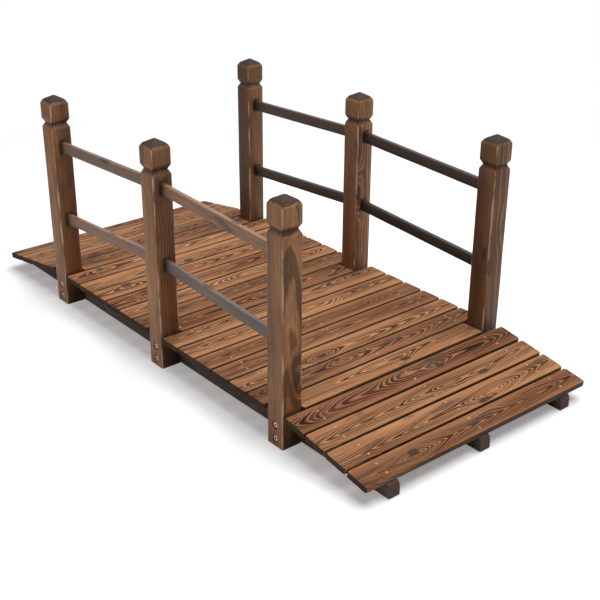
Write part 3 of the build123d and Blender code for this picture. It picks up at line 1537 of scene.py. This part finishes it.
@dataclass
class Posts(Timbers):
    """The six square posts with notched necks and pointed caps."""

    finish: TimberFinish = POST_TIMBER
    unevenness: float = 0.0008
    swell: float = 0.13
    shoulder: float = 0.481
    neck: float = 0.492
    cap_foot: float = 0.503
    cap_edge: float = 0.542
    cap_bevel: float = 0.551
    neck_size: float = 0.040
    bevel_size: float = 0.042
    peak_size: float = 0.006
    edge_radius: float = 0.003
    cap_radius: float = 0.004
    round_steps: int = 3
    arris_radius: float = 0.0014
    arris_steps: int = 2
    stations: int = 12
    mortise_play: float = 0.001
    bore: Disc = Disc(radius=0.009, height=0.024, sides=28)
    bore_depth: float = 0.006
    bolt_heights: Span = (0.018, 0.051)
    # Each post has its own stain; right_1 and right_3 are also darker as painted shade, offsetting the fill
    # lamp on the far row.
    cuts: dict[str, Cut] = field(
        default_factory=lambda: {
            "left_1": Cut(
                across=-0.03, depth=-0.03, slant=0.01, knot=(0.1, 0.0, 0.03),
                light=0.94, warmth=0.4, figure=0.5, calm=0.75, closeness=1.5,
            ),
            "left_2": Cut(
                across=-0.026, depth=-0.03, lean=0.01, knot=(0.2, -0.03, 0.0),
                light=1.0, warmth=0.5, figure=0.65, calm=0.7, closeness=1.4,
            ),
            "left_3": Cut(
                across=0.0331, depth=0.0033, lean=0.02, slant=0.05, knot=(-0.12, 0.026, 0.014),
                light=1.12, warmth=0.62, figure=0.9, calm=0.75,
            ),
            "right_1": Cut(
                across=0.03, depth=0.03, slant=0.01, knot=(0.3, 0.0, 0.03),
                light=0.64, warmth=0.4, figure=0.2, calm=0.6, closeness=1.5,
            ),
            "right_2": Cut(
                across=0.03, depth=0.035, lean=0.012, taper=0.02, knot=(0.02, 0.026, -0.02),
                light=1.12, warmth=1.0, figure=0.85, calm=0.9, closeness=2.3,
            ),
            "right_3": Cut(
                across=0.032, depth=0.03, lean=0.015, slant=0.01, knot=(0.0, 0.01, -0.026),
                light=0.74, warmth=0.4, figure=0.8, calm=0.9, closeness=1.2,
            ),
        }
    )

    def pattern(self, size: Vector) -> Piece:
        """Model one post about the origin, along X with its cap at the far end.

        Args:
            size: The post's height and its two widths.

        Returns:
            The pattern.
        """
        post = Bench.block("post_pattern", size)
        foot = -size.x / 2
        rings = (
            (self.shoulder, size.y),
            (self.neck, self.neck_size),
            (self.cap_foot, size.y),
            (self.cap_edge, size.y),
            (self.cap_bevel, self.bevel_size),
            (size.x, self.peak_size),
        )

        def lies_at(heights: Sequence[float]) -> Callable[[Vector, Vector], bool]:
            """Make a test for edges that lie square across the post.

            Args:
                heights: The heights above the foot that count.

            Returns:
                The test on an edge's two ends.
            """
            return lambda a, b: any(
                max(abs(a.x - foot - height), abs(b.x - foot - height)) < TOUCHING for height in heights
            )

        with Bench.editing(post):
            Bench.score([foot + height for height, _ in rings[:-1]])
            for height, width in rings:
                Bench.pick_edges(post, lies_at([height]))
                share = width / size.y
                bpy.ops.transform.resize(value=(1, share, share))
            Bench.pick_edges(post, lambda a, b: abs(a.x - b.x) > TOUCHING)
            Bench.ease(self.edge_radius, self.round_steps)
            Bench.pick_edges(post, lies_at((self.shoulder, self.cap_foot, self.cap_edge)))
            Bench.ease(self.arris_radius, self.arris_steps)
            Bench.pick_edges(post, lies_at([self.cap_bevel]))
            Bench.ease(self.cap_radius, self.round_steps)
            step = self.shoulder * (1 - 1 / self.stations) / self.stations
            Bench.score([foot + step * (number + 1) for number in range(self.stations)])
        return post

    def build(self, rails: dict[str, Place]) -> None:
        """Stand every post, with its mortises and the sinkings for its bolts.

        Args:
            rails: The places of the rails by node.
        """
        pattern = None
        for side in SIDES:
            for column in COLUMNS:
                spot = f"{side}_{column}"
                place = self.measure(f"post_{spot}")
                pattern = pattern or self.pattern(place.size)
                post = self.copy(pattern, f"upright_{spot}", place.matrix())
                for bay in BAYS:
                    if bay in (column - 1, column):
                        for level in LEVELS:
                            Bench.cut_out(post, self.mortise(rails[f"rail_{level}_{side}_{bay}"]))
                for height in self.bolt_heights:
                    Bench.cut_out(post, self.sinking(place, height))
                sockets = self.sockets(place, side, column, rails)
                self.complete(post, f"post_{spot}", replace(self.cuts[spot], sockets=sockets))
        Bench.scrap(pattern)

    def sockets(self, post: Place, side: str, column: int, rails: dict[str, Place]) -> Triple:
        """Find where the rails meet a post, for the dark stain and painted shade round them.

        Args:
            post: Where the post stands.
            side: Its side of the bridge.
            column: Its number along the bridge.
            rails: The places of the rails by node.

        Returns:
            The heights of the upper and the lower rail as shares of the half height, and which face they
            meet: 1 or -1 along the bridge, or 0 for both.
        """
        heights = []
        for level in LEVELS:
            rail = rails[f"rail_{level}_{side}_{min(column, BAYS[-1])}"]
            tips = [rail.tip(end) for end in ENDS]
            meeting = min(tips, key=lambda tip: abs(tip.x - post.middle.x))
            heights.append(2 * (meeting.z - post.middle.z) / post.size.x)
        return (*heights, float(COLUMNS[1] - column))

    def mortise(self, rail: Place) -> Piece:
        """The room that a rail takes in a post.

        Args:
            rail: Where the rail lies.

        Returns:
            The cutter.
        """
        cutter = Bench.block("mortise", rail.size + Vector((1, 1, 1)) * 2 * self.mortise_play)
        Bench.place(cutter, rail.matrix())
        return cutter

    def sinking(self, post: Place, height: float) -> Piece:
        """The shallow round hole for a bolt's head, on a post's outer face.

        Args:
            post: Where the post stands.
            height: The bolt's height above the floor.

        Returns:
            The cutter.
        """
        cutter = self.bore.model("sinking", -self.bore_depth)
        Bench.place(cutter, post.outer_face(height))
        return cutter


@dataclass
class Fixings:
    """Bolts through the posts' feet, nails in the deck and brads that pin the rails."""

    head: Disc = Disc(radius=0.0066, height=0.0038, sides=24, rim=0.0008, rim_steps=3)
    head_sink: float = 0.005
    socket: Disc = Disc(radius=0.0031, height=0.0056, sides=6)
    socket_depth: float = 0.0028
    nut: Disc = Disc(radius=0.0085, height=0.006, sides=6, rim=0.0009, rim_steps=2)
    washer: Disc = Disc(radius=0.011, height=0.0016, sides=24, rim=0.0005, rim_steps=2)
    bolt_wall: float = 0.42
    bolt_end: float = 0.4
    nail: Disc = Disc(radius=0.0029, height=0.0022, sides=12)
    nail_proud: float = 0.0006
    nail_insets: Span = (0.25, 0.3)
    nail_hollow: float = 0.4
    nail_spread: float = 0.27
    nail_slips: Span = (0.005, 0.003)
    brad: Disc = Disc(radius=0.0016, height=0.0016, sides=10, rim=0.0003)
    brad_base: float = -0.0012
    brad_shift: float = 0.017
    bolt_finish: SteelFinish = BOLT_STEEL
    nail_finish: SteelFinish = NAIL_STEEL
    brad_finish: SteelFinish = BRAD_STEEL

    def bolt_head(self, steel: Material, painted_shade: Material) -> Piece:
        """Model a low round bolt head whose hexagon socket is lined with dark steel as painted shade,
        standing on the origin.

        Args:
            steel: The head's finish.
            painted_shade: The dark steel that lines its socket, a painted shade.

        Returns:
            The pattern.
        """
        head = self.head.model("head_pattern")
        floor = self.head.height - self.socket_depth
        Bench.cut_out(head, self.socket.model("socket", floor))
        for finish in (steel, painted_shade):
            head.data.materials.append(finish)
        # The socket's inner faces take the dark steel, a painted shade in the hollow.
        for face in head.data.polygons:
            inside = face.center.xy.length < self.socket.radius
            if inside and floor - TOUCHING < face.center.z < self.head.height - TOUCHING:
                face.material_index = 1
        return head

    def bolt_nut(self, steel: Material) -> Piece:
        """Model a hexagon nut on its washer with the bolt's end in it, standing on the origin.

        Args:
            steel: Its finish.

        Returns:
            The pattern.
        """
        washer = self.washer.model("washer")
        nut = self.nut.model("nut_pattern", self.washer.height)
        with Bench.editing(nut):
            Bench.pick_top(nut)
            bpy.ops.mesh.inset(thickness=self.nut.radius * self.bolt_wall)
            rise = (0, 0, self.nut.height * self.bolt_end)
            bpy.ops.mesh.extrude_region_move(TRANSFORM_OT_translate={"value": rise})
        pattern = Bench.join([nut, washer], "nut_pattern")
        pattern.data.materials.append(steel)
        return pattern

    def nail_head(self, steel: Material) -> Piece:
        """Model a nail head, standing on the origin with a slightly hollow top.

        Args:
            steel: Its finish.

        Returns:
            The pattern.
        """
        nail = self.nail.model("nail_pattern", self.nail_proud - self.nail.height)
        with Bench.editing(nail):
            Bench.pick_top(nail)
            for share in self.nail_insets:
                bpy.ops.mesh.inset(thickness=self.nail.radius * share)
            bpy.ops.transform.translate(value=(0, 0, -self.nail_proud * self.nail_hollow))
        nail.data.materials.append(steel)
        return nail

    def brad_head(self, steel: Material) -> Piece:
        """Model a small pin head, standing on the origin.

        Args:
            steel: Its finish.

        Returns:
            The pattern.
        """
        pin = self.brad.model("brad_pattern", self.brad_base)
        pin.data.materials.append(steel)
        return pin

    def fix(self, pattern: Piece, spots: Sequence[Matrix], name: str) -> None:
        """Copy a pattern to every spot as one joined piece.

        Args:
            pattern: What is copied.
            spots: Where the copies go.
            name: The joined piece's name.
        """
        copies = [Bench.copy(pattern, f"{name}_{i}", spot) for i, spot in enumerate(spots)]
        piece = Bench.join(copies, name)
        Bench.smooth(piece)
        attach(piece, "root")
        log.info("%s in place, %d in all", name, len(spots))

    def build(self, deck: Deck, joists: Joists, rails: Rails, posts: Posts) -> None:
        """Drive every bolt, nail and brad.

        Args:
            deck: The laid boards.
            joists: The joists under them.
            rails: The fitted rails.
            posts: The posts that hold them.
        """
        steel, dark_steel = self.bolt_finish.material(), self.brad_finish.material()
        # The brads' dark steel also lines the bolt heads' sockets, as painted shade.
        head, nut = self.bolt_head(steel, dark_steel), self.bolt_nut(steel)
        nail, brad = self.nail_head(self.nail_finish.material()), self.brad_head(dark_steel)
        for side in SIDES:
            row = [posts.places[f"post_{side}_{column}"] for column in COLUMNS]
            spots = [post.outer_face(height) for post in row for height in posts.bolt_heights]
            through = row[0].size.z + joists.places[f"joist_{side}"].size.y
            sunk = Matrix.Translation((0, 0, -self.head_sink))
            back = Matrix.Translation((0, 0, -through)) @ Matrix.Rotation(math.pi, 4, "X")
            self.fix(head, [spot @ sunk for spot in spots], f"bolt_heads_{side}")
            self.fix(nut, [spot @ back for spot in spots], f"bolt_nuts_{side}")
        luck = random.Random("nails")
        for node, joist in joists.places.items():
            spots = self.nail_spots(deck, joist, luck)
            self.fix(nail, spots, node.replace("joist", "nails"))
        for side in SIDES:
            self.fix(brad, self.brad_spots(rails, posts, side), f"rail_brads_{side}")
        Bench.scrap(head, nut, nail, brad)

    def nail_spots(self, deck: Deck, joist: Place, luck: random.Random) -> list[Matrix]:
        """Find where two nails go through each board into one joist.

        Args:
            deck: The laid boards.
            joist: Where the joist lies.
            luck: The lots for how far each nail misses its mark.

        Returns:
            The spots on the boards' tops.
        """
        slip_along, slip_across = self.nail_slips
        spots = []
        for board in deck.places.values():
            for row in ENDS:
                along = joist.middle.y + luck.uniform(-slip_along, slip_along)
                across = row * self.nail_spread * board.size.y + luck.uniform(-slip_across, slip_across)
                spots.append(board.matrix() @ Matrix.Translation((along, across, board.size.z / 2)))
        return spots

    def brad_spots(self, rails: Rails, posts: Posts, side: str) -> list[Matrix]:
        """Find where a brad goes through each post into each rail's end.

        Args:
            rails: The fitted rails.
            posts: The posts that hold them.
            side: The side of the bridge.

        Returns:
            The spots on the posts' outer faces.
        """
        row = [posts.places[f"post_{side}_{column}"] for column in COLUMNS]
        spots = []
        for rail in [rails.places[f"rail_{level}_{side}_{bay}"] for level in LEVELS for bay in BAYS]:
            for end in ENDS:
                tip = rail.tip(end)
                post = min(row, key=lambda place: abs(place.middle.x - tip.x))
                spots.append(post.outer_face(tip.z, -end * self.brad_shift))
        return spots


@dataclass
class Studio:
    """A pale floor, soft light and the camera."""

    azimuth: float = 50.11
    elevation: float = 25.602
    roll: float = 0.35
    stand: Triple = (2.031086, -1.582641, 1.306438)
    focal_pixels: float = 1118.31
    image_pixels: float = 600.0
    sky_level: float = 0.15
    key_power: float = 165.0
    key_size: float = 4.0
    key_stand: Triple = (0.38, 0.65, 3.4)
    fill_power: float = 9.0
    fill_size: float = 1.6
    fill_stand: Triple = (-0.2, -2.6, 0.9)
    target: Triple = (0.0, 0.0, 0.1)
    floor_size: float = 40.0
    floor_colour: Colour = (0.84, 0.84, 0.85, 1.0)
    floor_lift: float = 0.26
    floor_fade: Span = (1.2, 2.2)
    painted_shade_reach: Span = (0.69, 0.275)
    painted_shade_edge: Span = (0.96, 1.04)

    def build(self) -> None:
        """Set up the floor, the light and the camera."""
        self.lay_floor()
        self.light()
        self.set_camera()
        bpy.context.scene.view_settings.view_transform = "Standard"
        log.info("studio set up")

    def lay_floor(self) -> None:
        """Lay a pale floor that keeps the shadow and turns white away from the bridge, with no glow under the
        bridge: a painted shade there.
        """
        bpy.ops.object.select_all(action="DESELECT")
        bpy.ops.mesh.primitive_plane_add(size=self.floor_size, location=(0, 0, 0))
        floor = bpy.context.object
        floor.name = floor.data.name = "studio_floor"
        s = Sketch(bpy.data.materials.new("studio_floor"))
        matte = s.surface({"Base Color": self.floor_colour, "Roughness": 1.0, "Specular IOR Level": 0.0})
        at = s.object_place()
        far = s.rise(s.length(at), *self.floor_fade)
        ray = s.node("ShaderNodeLightPath", {}, 0)
        # The glow is left off the floor under the bridge: a painted shade there.
        shade_reach = [
            s.maths("DIVIDE", s.magnitude(part), reach)
            for part, reach in zip(s.split(at), self.painted_shade_reach)
        ]
        outside_painted_shade = s.rise(s.maths("MAXIMUM", *shade_reach), *self.painted_shade_edge)
        glow = s.times(s.times(ray, outside_painted_shade), self.floor_lift)
        lifted = s.node("ShaderNodeEmission", {0: WHITE, 1: glow})
        near = s.node("ShaderNodeAddShader", {0: matte, 1: lifted})
        white = s.node("ShaderNodeEmission", {0: WHITE, 1: 1.0})
        surface = s.node("ShaderNodeMixShader", {0: s.times(far, ray), 1: near, 2: white})
        s.feed(s.tree.nodes["Material Output"].inputs[0], surface)
        floor.data.materials.append(s.owner)

    def light(self) -> None:
        """Hang two soft lamps and an even dim sky that looks white to the camera and in gloss."""
        s = Sketch(bpy.data.worlds.new("studio_sky"))
        bpy.context.scene.world = s.owner
        rays = s.tree.nodes.new("ShaderNodeLightPath").outputs
        clear = s.maths("MAXIMUM", rays["Is Glossy Ray"], rays["Is Transmission Ray"])
        seen = s.maths("MAXIMUM", rays["Is Camera Ray"], clear)
        sky = s.tree.nodes["Background"]
        s.feed(sky.inputs["Color"], WHITE)
        s.feed(sky.inputs["Strength"], s.spread(seen, FULL_SHARE, (self.sky_level, 1.0)))
        self.hang("key_lamp", self.key_stand, self.key_size, self.key_power)
        self.hang("fill_lamp", self.fill_stand, self.fill_size, self.fill_power)

    def hang(self, name: str, stand: Triple, size: float, power: float) -> None:
        """Hang a round soft lamp that looks at the bridge.

        Args:
            name: The lamp's name.
            stand: Where it hangs.
            size: How wide it is.
            power: How strong it is.
        """
        lamp = bpy.data.lights.new(name, "AREA")
        lamp.shape = "DISK"
        lamp.size = size
        lamp.energy = power
        hung = bpy.data.objects.new(name, lamp)
        hung.location = stand
        aim = Vector(self.target) - Vector(stand)
        hung.rotation_mode = "QUATERNION"
        hung.rotation_quaternion = aim.to_track_quat("-Z", "Y")
        bpy.context.scene.collection.objects.link(hung)

    def set_camera(self) -> None:
        """Stand the camera where the photograph was taken from."""
        lens = bpy.data.cameras.new("camera")
        lens.lens = self.focal_pixels / self.image_pixels * lens.sensor_width
        camera = bpy.data.objects.new("camera", lens)
        turn, lift = math.radians(self.azimuth), math.radians(self.elevation)
        level = math.cos(lift)
        back = Vector((math.sin(turn) * level, -math.cos(turn) * level, math.sin(lift)))
        camera.rotation_mode = "QUATERNION"
        upright = (-back).to_track_quat("-Z", "Y")
        camera.rotation_quaternion = upright @ Quaternion((0, 0, 1), math.radians(self.roll))
        camera.location = self.stand
        bpy.context.scene.collection.objects.link(camera)
        bpy.context.scene.camera = camera


def main() -> None:
    """Build the bridge piece by piece, then the studio round it."""
    logging.basicConfig(level=logging.INFO, format="%(name)s: %(message)s")
    deck, joists, rails, posts = Deck(), Joists(), Rails(), Posts()
    deck.build()
    joists.build()
    rails.build()
    posts.build(rails.places)
    Fixings().build(deck, joists, rails, posts)
    Studio().build()


if __name__ == "__main__":
    main()
